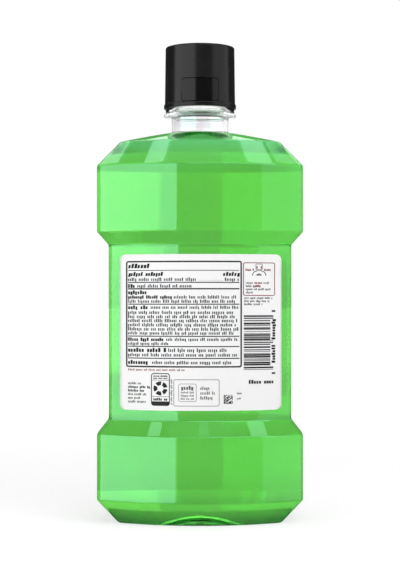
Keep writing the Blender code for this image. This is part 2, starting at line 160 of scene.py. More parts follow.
# Mesh from a grid of points (rows, columns, 3) in millimetres: each cell is a face, columns
# wrap round, rows wrap where asked, and a row drawn together to one point becomes a pole.
def gridPiece(name, grid, wrapRows=False, wrapColumns=True):
    rowCount, columnCount = grid.shape[:2]
    index = np.arange(rowCount * columnCount).reshape(rowCount, columnCount)
    pole = np.ptp(grid, axis=1).max(axis=1) < 1e-9
    index[pole] = index[pole][:, :1]
    nextRow = np.roll(index, -1, axis=0) if wrapRows else index[1:]
    thisRow = index if wrapRows else index[:-1]
    corners = [thisRow, np.roll(thisRow, -1, axis=1), np.roll(nextRow, -1, axis=1), nextRow]
    quads = np.stack(corners, axis=-1)
    if not wrapColumns:
        quads = quads[:, :-1]
    return meshPiece(name, grid.reshape(-1, 3), quads.reshape(-1, 4))


# Mesh from points in millimetres and quads, where a quad with a doubled corner is a triangle
def meshPiece(name, points, quads):
    used, quads = np.unique(quads, return_inverse=True)
    quads = quads.reshape(-1, 4)
    keep = quads != np.roll(quads, 1, axis=1)
    sizes = keep.sum(axis=1)
    whole = sizes >= 3
    quads, keep, sizes = quads[whole], keep[whole], sizes[whole]
    mesh = bpy.data.meshes.new(name)
    mesh.vertices.add(len(used))
    mesh.vertices.foreach_set("co", (points[used] * mm).ravel())
    mesh.loops.add(int(sizes.sum()))
    mesh.loops.foreach_set("vertex_index", quads[keep])
    mesh.polygons.add(len(sizes))
    mesh.polygons.foreach_set("loop_start", np.concatenate([[0], np.cumsum(sizes)[:-1]]))
    mesh.polygons.foreach_set("use_smooth", np.ones(len(sizes), bool))
    mesh.update(calc_edges=True)
    mesh.validate()
    piece = bpy.data.objects.new(name, mesh)
    bpy.context.scene.collection.objects.link(piece)
    return piece


# Swaps a piece's modifiers for the mesh that they make
def bakeModifiers(piece):
    bpy.context.view_layer.update()
    seen = piece.evaluated_get(bpy.context.evaluated_depsgraph_get())
    mesh = bpy.data.meshes.new_from_object(seen)
    piece.modifiers.clear()
    piece.data = mesh


def thicken(piece, thickness, offset):
    sheet = piece.modifiers.new("thickness", "SOLIDIFY")
    sheet.thickness = thickness * mm
    sheet.offset = offset


# Smooth faces that keep an edge sharp where they turn by more than an angle in degrees
def keepSharp(piece, angle):
    piece.data.shade_smooth()
    piece.data.set_sharp_from_angle(angle=math.radians(angle))


# Gives a piece its finish and the body that it rides on, and hides the nodes that it stands for; its slot
# is not used
def dress(piece, body, slot, finish, *nodes):
    piece.data.materials.clear()
    piece.data.materials.append(finish)
    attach(piece, body)
    for node in nodes:
        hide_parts(node)


# Rounds the corner rows of a grid or profile: each becomes a quadratic curve from a cut's
# length before the corner to a cut's length after it, with a guard row on either side.
def roundRows(rows, cuts, steps=4):
    mostCut, mostGuard = 0.4, 0.48    # shares of the way to the next row
    guardShare = 1.5    # how far out a guard row is, by the cut
    share = np.linspace(0, 1, steps + 1).reshape((-1,) + (1,) * (rows.ndim - 1))
    out = [rows[:1]]
    for k in range(1, len(rows) - 1):
        corner = rows[k : k + 1]
        if cuts[k] == 0:
            out.append(corner)
            continue
        before = rows[k - 1 : k] - corner
        after = rows[k + 1 : k + 2] - corner
        reachBefore = cuts[k] / np.maximum(np.linalg.norm(before, axis=-1, keepdims=True), 1e-6)
        reachAfter = cuts[k] / np.maximum(np.linalg.norm(after, axis=-1, keepdims=True), 1e-6)
        start = corner + before * np.minimum(reachBefore, mostCut)
        end = corner + after * np.minimum(reachAfter, mostCut)
        out.append(corner + before * np.minimum(guardShare * reachBefore, mostGuard))
        out.append((1 - share) ** 2 * start + 2 * share * (1 - share) * corner + share**2 * end)
        out.append(corner + after * np.minimum(guardShare * reachAfter, mostGuard))
    out.append(rows[-1:])
    return np.concatenate(out)


# Ovals about the middle: half the width times the turn's cosine, half the depth times its sine
def ovals(halfWidth, halfDepth):
    angle = fullTurn * turns[None, :]
    return np.stack([halfWidth * np.cos(angle), halfDepth * np.sin(angle)], axis=-1)


# Raises each row of outlines to its height
def lift(outline, z):
    height = np.broadcast_to(np.reshape(z, (-1, 1, 1)), outline.shape[:2] + (1,))
    return np.concatenate([outline, height], axis=-1)


# Rings from a profile of (radius, z)
def turnedRows(profile):
    radius, z = np.array(profile, float).T
    return lift(ovals(radius[:, None], radius[:, None]), z)


# Rings from a profile of (radius, z, cut), with its corners rounded
def turnedProfile(knots, steps=4):
    knots = np.array(knots, float)
    return turnedRows(roundRows(knots[:, :2], knots[:, 2], steps))


# Rings of a wall with a right-handed thread, outwards 1 or -1: the distance to the nearest turn
# of the helix gives it sloping flanks and a flat crest, and both ends fade to nothing.
def threadedRows(radius, start, end, count, thread, outwards):
    z = np.linspace(start, end, count)
    firstZ, pitch, turnCount, halfWidth, height = thread
    slope, fade = 2.2, 0.12    # of the flanks, and the share of a turn in which an end fades
    phase = (z[:, None] - firstZ) / pitch - turns[None, :]
    along = turns[None, :] + np.round(phase)
    away = np.abs(phase - np.round(phase)) * pitch / halfWidth
    flank = np.clip((1 - away) * slope, 0, 1)
    ends = np.clip(along / fade, 0, 1) * np.clip((turnCount - along) / fade, 0, 1)
    radius = radius + outwards * height * (flank * flank * (3 - 2 * flank) * ends)
    return lift(ovals(radius, radius), z)


# Rounded rectangle as a grid of (x, z): near its ends each row's half width follows the
# corner's circle.
def roundedSheet(sizes, cornerRows, straightRows, places):
    corner = sizes["corner"]
    tall = sizes["top"] - sizes["bottom"]
    ends = corner * (1 - np.cos(np.linspace(0, math.pi / 2, cornerRows)))
    up = np.concatenate([ends, np.linspace(corner, tall - corner, straightRows)[1:-1], tall - ends[::-1]])
    inCorner = np.clip(corner - np.minimum(up, tall - up), 0, corner)
    half = sizes["width"] / 2 - corner + np.sqrt(corner**2 - inCorner**2)
    x = half[:, None] * np.linspace(-1, 1, places)[None, :]
    return x, (sizes["bottom"] + up)[:, None] + 0 * x


# Bottle: lengths are in millimetres, and heights stand above the base

bottle = {
    "width": 105.4,
    "depth": 75.0,
    "faceRadius": 90.0,
    "sideRadius": 300.0,
    "wall": 0.45,
    "edges": (    # height, inset, corner radius and edge rounding of each edge
        (0.0, 10.8, 4.0, 0.9),
        (12.1, 0.0, 6.5, 0.7),
        (45.25, 0.0, 6.5, 0.7),
        (52.85, 5.9, 5.5, 0.8),
        (141.25, 5.9, 5.5, 0.8),
        (147.85, 0.0, 6.5, 0.7),
        (181.2, 0.0, 6.5, 0.7),
    ),
    "rimInset": 11.9,
    "rimCorner": 4.0,
    "rimRound": 0.7,
    "domeHeight": 5.4,
    "domeCrown": 1.15,
    "pushUp": (47.0, 26.0, 7.5),    # width, depth, height
    "pushUpRound": 1.8,
    "gate": (1.2, 0.35, 0.3, 0.02),    # radius, drop, and the width and height of its foot
    "neckRoot": 199.25,
    "neckRadius": 14.6,
    "neckTop": 207.25,
    "neckRounds": (1.0, 0.5),    # at the root and at the support ring
    "ringRadius": 18.6,
    "ringEdge": (207.75, 208.85),
    "ringRound": 0.3,
    "collarRadius": 16.25,
    "collarFoot": 210.1,
    "collarTop": 212.05,
    "collarTopRadius": 14.5,
    "collarRounds": (0.4, 0.35),    # at its top and at the finish's foot
    "finishRadius": 12.7,
    "lip": 230.15,
    "lipRound": 0.45,
    "boreRadius": 10.9,
    "boreFoot": 209.85,
    "throatRadius": 12.8,
    "throatRounds": (1.0, 1.2, 1.2),    # at the bore's foot, the throat's top and its root
    "thread": (217.0, 3.0, 1.8, 1.05, 0.55),    # first height, pitch, turns, half width, height
    "threadMargin": 0.6,
    "tooth": (14.0, 20.0, 1.2, 1.65),    # start and span in degrees, fall, height
    "bending": 1.45,
    "glossTint": (0.42, 1.0, 0.95),
    "tint": (1.0, 1.0, 0.99),
    "paintedShadeTint": (0.42, 0.46, 0.6),
    "footShade": (-3.5, 13.5),    # painted shade: the clear plastic darkens towards the foot
    "neckShade": (200.0, 204.0),    # and a little in the neck
    "neckShadeLevel": 0.83,
    "glow": (0.13, 0.13, 0.13),    # painted glow: emission that lightens the support ring and the collar
    "paintedGlowFoot": (207.2, 210.8),
    "paintedGlowTop": (213.2, 214.2),
}


# Body outline at an inset: a side arc, a corner arc and a face arc in each quarter, on centres
# that don't move, so that every chamfer keeps one slope. A quarter's points are shared
# 0.2 : 0.25 : 0.55 between the arcs. Insets and corners are columns, one value for each row.
def bodyOutline(inset, corner):
    sideShare, cornerShare, faceShare = 0.2, 0.25, 0.55
    cornerEnd = sideShare + cornerShare
    inset = np.asarray(inset, float).reshape(-1, 1)
    corner = np.asarray(corner, float).reshape(-1, 1)
    faceRadius = bottle["faceRadius"] - inset
    sideRadius = bottle["sideRadius"] - inset
    faceCentre = bottle["depth"] / 2 - bottle["faceRadius"]
    sideCentre = bottle["width"] / 2 - bottle["sideRadius"]
    span = math.hypot(faceCentre, sideCentre)
    along = ((sideRadius - corner) ** 2 - (faceRadius - corner) ** 2 + span**2) / (2 * span)
    across = np.sqrt((sideRadius - corner) ** 2 - along**2)
    unitX, unitY = -sideCentre / span, faceCentre / span
    cornerX = sideCentre + unitX * along - unitY * across
    cornerY = unitY * along + unitX * across
    sideEnd = np.arctan2(cornerY, cornerX - sideCentre)
    faceStart = np.arctan2(cornerY - faceCentre, cornerX)
    quarter = (turns * 4)[None, :]
    fold = 1 - np.abs(1 - quarter % 2)    # 0 at either side's middle, 1 at either face's
    sideAngle = sideEnd * fold / sideShare
    cornerAngle = sideEnd + (faceStart - sideEnd) * (fold - sideShare) / cornerShare
    faceAngle = faceStart + (math.pi / 2 - faceStart) * (fold - cornerEnd) / faceShare
    arcs = (
        (sideCentre + sideRadius * np.cos(sideAngle), sideRadius * np.sin(sideAngle)),
        (cornerX + corner * np.cos(cornerAngle), cornerY + corner * np.sin(cornerAngle)),
        (faceRadius * np.cos(faceAngle), faceCentre + faceRadius * np.sin(faceAngle)),
    )
    where = [fold < sideShare, fold < cornerEnd, fold >= cornerEnd]
    x, y = [np.select(where, choices) for choices in zip(*arcs)]
    leftHalf = np.where((quarter > 1) & (quarter < 3), -1, 1)
    nearHalf = np.where(quarter > 2, -1, 1)
    return np.stack([x * leftHalf, y * nearHalf], axis=-1)


# Rows of the body from the middle of the push-up to the shoulder's lower edge, with their
# cuts. The push-up is an elliptical dome: its rise falls with the square of the radius share.
def bodyRows(depth, gate=False):
    width, wide, height = bottle["pushUp"]
    shares = np.array([0.0, 0.12, 0.25, 0.38, 0.5, 0.62, 0.74, 0.85, 0.93, 1.0])
    rise = depth + height * (1 - shares**2)
    rows = lift(ovals(width / 2 * shares[:, None], wide / 2 * shares[:, None]), rise)
    if gate:
        radius, drop, footWidth, footHeight = bottle["gate"]
        tip, foot = rise[0] - drop, rise[0] - footHeight
        rows = np.concatenate([turnedRows([(0, tip), (radius, tip), (radius + footWidth, foot)]), rows[1:]])
    cuts = np.zeros(len(rows))
    cuts[-1] = bottle["pushUpRound"]
    heights, insets, corners, rounds = np.array(bottle["edges"]).T.copy()
    heights[0] = depth
    knots = lift(bodyOutline(insets + depth, corners - depth), heights)
    return np.concatenate([rows, knots]), np.concatenate([cuts, rounds])


# Rows of the dome: the rim's outline blended to the throat's circle, from the given share of
# the run down to the last, while the height falls with the share to the power of the crown.
def domeRows(depth, throat, shares):
    shares = np.asarray(shares, float)
    rim = bodyOutline([bottle["rimInset"] + depth], [bottle["rimCorner"] - depth])
    circle = ovals(throat, throat)
    outline = circle + (rim - circle) * shares[:, None, None]
    drop = bottle["domeHeight"] * shares ** bottle["domeCrown"]
    return lift(outline, bottle["neckRoot"] - depth - drop)


# The wall's outside from the push-up's middle up to the lip, then its inside back down
def makeBottle():
    b = bottle
    domeShares = [1.0, 0.9, 0.8, 0.65, 0.5, 0.35, 0.2, 0.1, 0.0]
    flat = [0.0] * (len(domeShares) - 2)
    outer, outerCuts = bodyRows(0.0, gate=True)
    inner, innerCuts = bodyRows(b["wall"])
    neck = turnedRows([
        (b["neckRadius"], b["neckTop"]),
        (b["ringRadius"], b["ringEdge"][0]),
        (b["ringRadius"], b["ringEdge"][1]),
        (b["collarRadius"], b["collarFoot"]),
    ])
    collarFoot = np.array([b["collarRadius"], b["collarFoot"]])
    collarRun = np.array([b["collarTopRadius"], b["collarTop"]]) - collarFoot
    collar = withTeeth(turnedRows(collarFoot + collarRun * np.linspace(0, 1, 9)[1:, None]))
    finishFoot = turnedRows([(b["finishRadius"], b["collarTop"])])
    plain = b["threadMargin"]
    finish = threadedRows(b["finishRadius"], b["collarTop"] + plain, b["lip"] - plain, 66, b["thread"], 1)
    mouth = turnedRows([
        (b["finishRadius"], b["lip"]),
        (b["boreRadius"], b["lip"]),
        (b["boreRadius"], b["boreFoot"]),
        (b["throatRadius"], b["neckTop"]),
    ])
    boreRound, throatRound, rootRound = b["throatRounds"]
    parts = (    # rows and their cuts
        (outer, outerCuts),
        (domeRows(0.0, b["neckRadius"], domeShares), [b["rimRound"]] + flat + [b["neckRounds"][0]]),
        (neck, [b["neckRounds"][1], b["ringRound"], b["ringRound"], 0.0]),
        (collar, [0.0] * (len(collar) - 1) + [b["collarRounds"][0]]),
        (finishFoot, [b["collarRounds"][1]]),
        (finish, np.zeros(len(finish))),
        (mouth, [b["lipRound"], b["lipRound"], boreRound, throatRound]),
        (domeRows(b["wall"], b["throatRadius"], domeShares[::-1]), [rootRound] + flat + [b["rimRound"]]),
        (inner[::-1], innerCuts[::-1]),
    )
    rows, cuts = [np.concatenate(column) for column in zip(*parts)]
    return gridPiece("bottleShell", roundRows(rows, cuts))


# Ratchet teeth: over the lower part of the collar its radius is at least the tooth's, which
# falls evenly from the steep face to the end of the ramp.
def withTeeth(collar):
    start, span, fall, height = bottle["tooth"]
    angle = np.degrees(fullTurn * turns) % 180
    along = (angle - start) / span
    crest = np.where((along >= 0) & (along <= 1), bottle["collarRadius"] - fall * along, 0)
    radius = np.hypot(collar[..., 0], collar[..., 1])
    low = collar[..., 2] <= bottle["collarFoot"] + height
    grow = np.where(low, np.maximum(radius, crest[None, :]), radius) / radius
    out = collar.copy()
    out[..., :2] *= grow[..., None]
    return out


def clearPetFinish():
    b = bottle
    finish, tree, shader = newFinish("clearPet", Transmission_Weight=1.0, IOR=b["bending"],
                                     Specular_Tint=(*b["glossTint"], 1), Emission_Strength=1.0)
    waves = grain(tree, 0.022, 1.0)
    specks = grain(tree, 0.0015, 3.0)
    height = axisOf(placeOn(tree), 2)
    # Painted shade: the plastic's colour goes to the darker tint towards the foot and a little in the neck
    unshadedShare = byHeight(height, b["footShade"]) * byHeight(height, b["neckShade"], 1.0, b["neckShadeLevel"])
    # Painted glow: emission on the support ring and the collar, which lightens them
    lit = byHeight(height, b["paintedGlowFoot"]) * byHeight(height, b["paintedGlowTop"], 1.0, 0.0)
    feed(tree, shader,
         Base_Color=mixColour(tree, unshadedShare * (waves * 0.1 + 0.9), b["paintedShadeTint"], b["tint"]),
         Emission_Color=mixColour(tree, lit, (0, 0, 0), b["glow"]),
         Roughness=specks * 0.02 + 0.005,
         Normal=bumpOf(tree, waves, 0.00004))
    return finish


bottlePiece = makeBottle()
dress(bottlePiece, "bottle", "clear_pet", clearPetFinish(), "bottle")
print("bottle shell:", len(bottlePiece.data.polygons), "faces")


# Mouthwash: it reaches a hair's breadth into the wall, so that light goes from one to the
# other without a film of air, and its surface turns up where it meets the wall.

mouthwash = {
    "level": 197.85,
    "overlap": 0.03,
    "meniscus": 0.35,
    "meniscusReach": 1.6,
    "meniscusFall": 1.8,    # powers of e that its height loses over the reach
    "bending": 1.22,
    "tint": (0.155, 0.665, 0.1),
    "paleTint": (0.17, 0.685, 0.11),
    "paintedDomeLight": (0.18, 0.77, 0.28),    # painted light: a paler, bluer tint under the dome, towards the shoulders
    "domeHeights": (179.5, 192.0),
    "neckZone": (36.0, 36.0),    # oval under the neck that keeps the deep tint
    "neckZoneFade": (1.0, 1.1),
    # painted light: a paler tint over the push-up, which lightens it
    "paintedPushUpLight": (0.85, 0.96, 0.8),
    "pushUpZone": (20.0, 1.1),    # height below which it holds, and its size by the push-up's
    "absorbColour": (0.34, 0.81, 0.12),
    "absorbDensity": 5.0,
}


# The body's rows, the dome's up to the contact line, and the surface: its rise above the
# level falls off exponentially with the distance from the wall.
def makeMouthwash():
    m = mouthwash
    depth = bottle["wall"] - m["overlap"]
    drop = bottle["neckRoot"] - depth - (m["level"] + m["meniscus"])
    contactShare = (drop / bottle["domeHeight"]) ** (1 / bottle["domeCrown"])
    rows, cuts = bodyRows(depth)
    shares = [1.0, 0.9, 0.8, 0.65, 0.5, 0.35, 0.22, contactShare]
    dome = domeRows(depth, bottle["throatRadius"] + m["overlap"], shares)
    edge = dome[-1]
    reach = np.linalg.norm(edge[:, :2], axis=-1)[None, :, None]
    away = np.array([0.4, 0.9, 1.6, 2.5, 4.0, 7.0, 11.0])[:, None, None]
    surface = np.broadcast_to(edge, (len(away),) + edge.shape).copy()
    surface[..., :2] *= 1 - away / reach
    rise = m["meniscus"] * np.exp(-away / m["meniscusReach"] * m["meniscusFall"])
    surface[..., 2] = m["level"] + rise[..., 0]
    grid = np.concatenate([rows, dome, surface, turnedRows([(0, m["level"])])])
    plain = np.zeros(len(grid) - len(rows) - 1)    # no cut after the rim
    return gridPiece("mouthwashBody", roundRows(grid, np.concatenate([cuts, [bottle["rimRound"]], plain])))


def mouthwashFinish():
    m = mouthwash
    finish, tree, shader = newFinish("mouthwash", Transmission_Weight=1.0, IOR=m["bending"], Roughness=0.0)
    place = placeOn(tree)
    height = axisOf(place, 2)
    # Painted light: over the push-up the liquid takes a paler tint
    below, zoneShare = m["pushUpZone"]
    overPushUp = (height < below * mm) * (farOut(place, *bottle["pushUp"][:2]) < zoneShare)
    # Painted light: the liquid is paler and bluer under the dome, outside the neck's oval
    outOfNeck = eased(farOut(place, *m["neckZone"]), m["neckZoneFade"])
    paintedDomeLightShare = byHeight(height, m["domeHeights"]) * outOfNeck
    tint = mixColour(tree, grain(tree, 0.05, 1.0), m["tint"], m["paleTint"])
    tint = mixColour(tree, paintedDomeLightShare, tint, m["paintedDomeLight"])
    feed(tree, shader, Base_Color=mixColour(tree, overPushUp, tint, m["paintedPushUpLight"]))
    sockets = {"Color": (*m["absorbColour"], 1), "Density": m["absorbDensity"]}
    absorb = addNode(tree, "VolumeAbsorption", sockets)
    tree.links.new(absorb.socket, tree.nodes["Material Output"].inputs["Volume"])
    return finish


liquidPiece = makeMouthwash()
dress(liquidPiece, "bottle", "green_liquid", mouthwashFinish(), "mouthwash")
print("mouthwash:", len(liquidPiece.data.polygons), "faces")


# Back label: a film on the bowed waist, and what is printed on it as thin blocks of ink

label = {
    "width": 81.4,
    "bottom": 58.05,
    "top": 136.15,
    "shift": 0.35,
    "corner": 3.0,
    "thickness": 0.14,
    "lift": 0.03,
    "inkLift": 0.035,
    "bow": 84.1,    # radius of the waist's near face
    "bowCentre": 52.5,
    "film": ((0.895, 0.895, 0.89), (0.925, 0.925, 0.925)),
    "paintedBackGlow": (0.5, 0.5, 0.45),    # painted glow on its hidden face, in place of daylight through the film
    "blackInk": ((0.008, 0.008, 0.009), (0.03, 0.03, 0.032)),
    "redInk": ((0.17, 0.02, 0.035), (0.3, 0.05, 0.07)),
    "greyInk": ((0.09, 0.085, 0.09), (0.18, 0.17, 0.18)),
}


# Point of the bowed face at x, a distance out from the wall: y follows the face's circle
def onFace(x, z, out):
    y = label["bowCentre"] - np.sqrt((label["bow"] + out) ** 2 - x**2)
    return np.stack(np.broadcast_arrays(x, y, z), axis=-1)


# Rounded rectangle laid on the bowed face and thickened outwards
def makeLabel():
    x, z = roundedSheet(label, 10, 40, 61)
    piece = gridPiece("labelFilm", onFace(label["shift"] + x, z, label["lift"]), wrapColumns=False)
    thicken(piece, label["thickness"], 1)
    bakeModifiers(piece)
    return piece


def labelFilmFinish():
    finish, tree, shader = newFinish("labelFilm", IOR=1.48, Specular_IOR_Level=0.45,
                                     Emission_Strength=1.0)
    # Painted glow: the film's hidden face, towards the bottle, glows as if lit through the film
    hidden = axisOf(placeOn(tree, "Normal"), 1) > 0.5
    fibres = grain(tree, 0.0009, 4.0, (1, 1, 2.5))
    clouds = grain(tree, 0.014, 2.0)
    feed(tree, shader,
         Base_Color=mixColour(tree, clouds, *label["film"]),
         Emission_Color=mixColour(tree, hidden, (0, 0, 0), label["paintedBackGlow"]),
         Roughness=fibres * 0.16 + 0.42,
         Normal=bumpOf(tree, fibres, 0.00002))
    return finish


def inkFinish(name, tones):
    finish, tree, shader = newFinish(name, IOR=1.5, Specular_IOR_Level=0.12)
    speckle = grain(tree, 0.00025, 2.0)
    feed(tree, shader,
         Base_Color=mixColour(tree, speckle, *tones),
         Roughness=speckle * 0.2 + 0.4)
    return finish


# Print: places are in millimetres from the label's left edge and from its top

letters = {    # shares of a line's height or of a letter's step: plain, then bold, where two
    "step": (0.52, 0.62),
    "fill": (0.68, 0.88),
    "unevenFill": 0.22,
    "smallTop": 0.27,
    "hanging": 0.2,
    "slant": 0.2,
}
stripes = {
    "down": (30.6, 57.8),    # top and bottom
    "across": (62.2, 75.7, 77.2),    # left, right, and the right of a long bar
    "count": 59,
    "long": (0, 2, 28, 30, 56, 58),
    "widths": (0.33, 0.33, 0.66, 0.99),
    "spread": 1.12,    # how much wider than its share ink comes out
}
square = {"left": 52.2, "top": 70.2, "size": 4.4, "cells": 12}


# Ink patches are arrays of four corners (across, down), first along the top edge
def block(left, right, top, bottom, slant=0.0):
    sides = [np.atleast_1d(side).astype(float) for side in (left, right, top, bottom)]
    left, right, top, bottom = np.broadcast_arrays(*sides)
    lean = slant * (bottom - top)
    corners = [(left + lean, top), (right + lean, top), (right, bottom), (left, bottom)]
    return np.stack([np.stack(corner, axis=-1) for corner in corners], axis=1)


# A rule is cut into short lengths so that it follows the bowed face
def rule(left, right, top, thick):
    length = 1.5
    cuts = np.linspace(left, right, max(2, int((right - left) / length) + 2))
    return block(cuts[:-1], cuts[1:], top - thick / 2, top + thick / 2)


# Part of a ring between two angles in degrees: each spoke is the angle's cosine and sine
def arc(x, y, radius, thick, start, end, pieces=8):
    angle = np.radians(np.linspace(start, end, pieces + 1))
    spoke = np.stack([np.cos(angle), np.sin(angle)], axis=-1)
    inner = np.array([x, y]) + (radius - thick / 2) * spoke
    outer = np.array([x, y]) + (radius + thick / 2) * spoke
    return np.stack([inner[:-1], outer[:-1], outer[1:], inner[1:]], axis=1)[:, ::-1]


# Rounded frame: four straight sides and a quarter of a ring at each corner
def box(left, right, top, bottom, thick, corner=0.8):
    return np.concatenate([
        rule(left + corner, right - corner, top, thick),
        rule(left + corner, right - corner, bottom, thick),
        block(left - thick / 2, left + thick / 2, top + corner, bottom - corner),
        block(right - thick / 2, right + thick / 2, top + corner, bottom - corner),
        arc(left + corner, top + corner, corner, thick, 180, 270),
        arc(right - corner, top + corner, corner, thick, 270, 360),
        arc(right - corner, bottom - corner, corner, thick, 0, 90),
        arc(left + corner, bottom - corner, corner, thick, 90, 180),
    ])


# Wordless print: blocks of a letter's width in groups of a word's length. Every block has the
# small letters' height, some rise to the line's top and a few hang below its foot.
def greeking(left, right, top, bottom, seed, bold=False, slant=0.0):
    rng = np.random.default_rng(seed)
    tall = bottom - top
    count = max(2, int((right - left) / (tall * letters["step"][bold])))
    step = (right - left) / count
    starts = left + step * np.arange(count)
    uneven = letters["unevenFill"]
    fill = letters["fill"][bold] * (1 - uneven + uneven * rng.random(count))
    shapes = rng.integers(0, 10, count)
    high = np.where(shapes < 3, top, top + tall * letters["smallTop"])
    low = np.where(shapes == 9, bottom + tall * letters["hanging"], bottom)
    spaces = np.cumsum(rng.integers(4, 9, count))
    kept = ~np.isin(np.arange(count), spaces)
    return block(starts, starts + step * fill, high, low, slant)[kept]


# Lines of wordless print, each with its left, right, top and bottom
def printLines(lines, seed, bold=False, slant=0.0):
    return [greeking(*line, seed + k, bold, slant) for k, line in enumerate(lines)]


# Lines under each other at an even pitch, each up to its own right end
def paragraph(left, ends, top, bottom, pitch, seed, boldRows=()):
    return [
        greeking(left, end, top + pitch * row, bottom + pitch * row, seed + row, row in boldRows)
        for row, end in enumerate(ends)
    ]


# Small lines of one height, each with its left, right and top
def smallLines(lines, seed, bold=False):
    tall = 1.1
    return printLines([(left, right, top, top + tall) for left, right, top in lines], seed, bold)


# Print that runs down the label: across and down change places, and the corners' order turns
def runningDown(patches):
    return patches[..., ::-1][:, ::-1]


def printedText():
    left, right, slant = 4.2, 60.0, letters["slant"]
    rules = (    # top, thickness
        (8.1, 0.36), (14.1, 0.5), (17.3, 0.65), (25.0, 0.5), (41.0, 0.5), (46.1, 0.5), (52.0, 0.5),
    )
    slanted = ((left, 21.8, 8.9, 10.9), (51.7, 60.2, 8.9, 10.9))
    openings = (    # bold
        (left, 7.9, 14.9, 16.8), (left, 13.9, 18.1, 20.0), (left, 26.5, 20.6, 22.2),
        (left, 14.4, 25.6, 27.5), (left, 22.2, 41.7, 43.4), (left, 23.6, 46.8, 48.9),
        (left, 15.7, 53.0, 55.0),
    )
    lines = (
        (left, 38.6, 11.7, 13.4), (52.7, 60.0, 11.7, 13.4), (8.9, 37.3, 15.0, 16.7),
        (27.3, 58.6, 20.6, 22.2), (left, 58.0, 22.7, 24.3), (15.7, 59.7, 25.7, 27.3),
        (left, 57.2, 28.2, 29.9), (left, 57.9, 30.3, 32.0), (left, 59.2, 32.3, 34.0),
        (left, 58.5, 34.4, 36.1), (left, 59.7, 36.5, 38.2), (left, 57.3, 38.6, 40.2),
        (23.5, 59.2, 41.7, 43.3), (left, 25.5, 43.9, 45.4), (24.5, 54.9, 47.0, 48.8),
        (left, 59.1, 49.4, 51.1), (16.4, 56.2, 53.2, 54.9),
    )
    dots = np.arange(39.6, 52.0, 0.75)
    return np.concatenate([
        box(3.5, 60.9, 3.7, 56.2, 0.75),
        greeking(left, 16.7, 4.7, 7.0, 2, True, slant),
        *[rule(left, right, top, thick) for top, thick in rules],
        *printLines(slanted, 10, True, slant),
        *printLines(openings, 12, True),
        *printLines(lines, 40),
        block(dots, dots + 0.22, 13.0, 13.22),
        *paragraph(left, (11.1, 15.4, 12.4, 13.7, 11.1, 13.4), 64.0, 65.2, 1.82, 70, (1, 2)),
        *paragraph(62.5, (76.9, 75.4, 71.8), 21.3, 22.4, 1.55, 80),
        greeking(64.7, 77.6, 62.9, 64.8, 90, True),
        greeking(58.8, 61.3, 69.0, 69.9, 91),
        greeking(58.8, 61.3, 71.6, 72.5, 92),
    ])


# Small panel with a ring of blocks between two lines of wordless print
def ringPanel():
    return np.concatenate([
        box(16.1, 25.1, 59.6, 75.5, 0.45, 1.2),
        *paragraph(17.0, (24.2, 24.2), 60.4, 61.2, 1.1, 100, (0, 1)),
        rule(16.4, 24.8, 62.9, 0.2),
        *[arc(20.6, 67.0, 2.55, 1.9, start, start + 54, 6) for start in range(8, 360, 72)],
        rule(16.4, 24.8, 71.1, 0.2),
        greeking(17.0, 24.2, 71.7, 73.1, 105, True),
        rule(16.3, 24.9, 74.45, 1.9),
        runningDown(greeking(62.6, 75.2, 25.6, 26.5, 106)),
    ])


# Plain stripe code: bars of mixed widths down its length, and a block for each of its signs
def stripeCode():
    s = stripes
    (top, bottom), (left, right, longRight) = s["down"], s["across"]
    widths = np.random.default_rng(7).choice(s["widths"], s["count"])
    edges = top + (bottom - top) * (np.concatenate([[0], np.cumsum(widths)]) / widths.sum())
    bars = []
    for k in range(0, s["count"], 2):
        thick = (edges[k + 1] - edges[k]) * s["spread"]
        end = longRight if k in s["long"] else right
        bars.append(rule(left, end, (edges[k] + edges[k + 1]) / 2, thick))
    return np.concatenate([
        *bars,
        runningDown(greeking(32.5, 43.0, 76.3, 78.2, 110, True)),
        runningDown(greeking(45.5, 56.0, 76.3, 78.2, 111, True)),
        block(76.4, 78.2, 28.0, 28.9),
        block(76.4, 78.2, 59.2, 60.1),
    ])


# Small square code: half of its cells by chance, and two whole edges
def squareCode():
    cells = square["cells"]
    rng = np.random.default_rng(11)
    cell = square["size"] / cells
    across, down = np.meshgrid(np.arange(cells), np.arange(cells))
    dark = (rng.random((cells, cells)) < 0.5) | (across == 0) | (down == cells - 1)
    left, top = square["left"] + cell * across[dark], square["top"] + cell * down[dark]
    return block(left, left + cell, top, top + cell)


def redPrint():
    words = (63.1, 67.4, 7.2), (72.6, 76.7, 7.2), (67.6, 71.6, 13.7), (66.9, 70.8, 15.3)
    return np.concatenate([
        box(62.1, 77.9, 4.3, 20.6, 0.4),
        greeking(4.2, 32.9, 57.2, 58.3, 120),
        *smallLines(words, 121, True),
        block(68.6, 69.2, 5.9, 7.2),
        block(70.8, 71.4, 5.9, 7.2),
    ])


# Plain sign of a cap on a bottle's shoulders, over four lines of wordless print
def capSign():
    lines = [(63.3, 66.9, 13.7), (72.2, 75.1, 13.7)]
    lines += [(63.3, 66.3, 15.3), (63.3, 75.9, 16.9), (63.3, 67.0, 18.5)]
    return np.concatenate([
        box(68.3, 71.7, 4.9, 7.6, 0.25, 0.4),
        block(68.7, 71.3, 8.0, 8.3),
        arc(68.9, 10.7, 2.3, 0.4, 180, 270),
        arc(71.1, 10.7, 2.3, 0.4, 270, 360),
        greeking(68.7, 71.3, 9.6, 10.7, 125, True),
        *smallLines(lines, 126),
    ])


def greyPrint():
    return np.concatenate([
        box(27.3, 49.9, 62.6, 75.7, 0.28),
        box(29.7, 38.5, 64.7, 73.5, 0.22, 1.0),
        greeking(31.0, 37.2, 65.6, 67.6, 130, True),
        *paragraph(30.8, (37.4, 37.4, 37.4), 68.4, 69.4, 1.6, 131),
        *paragraph(40.5, (45.4, 48.0, 46.9), 66.0, 67.6, 2.4, 135),
    ])


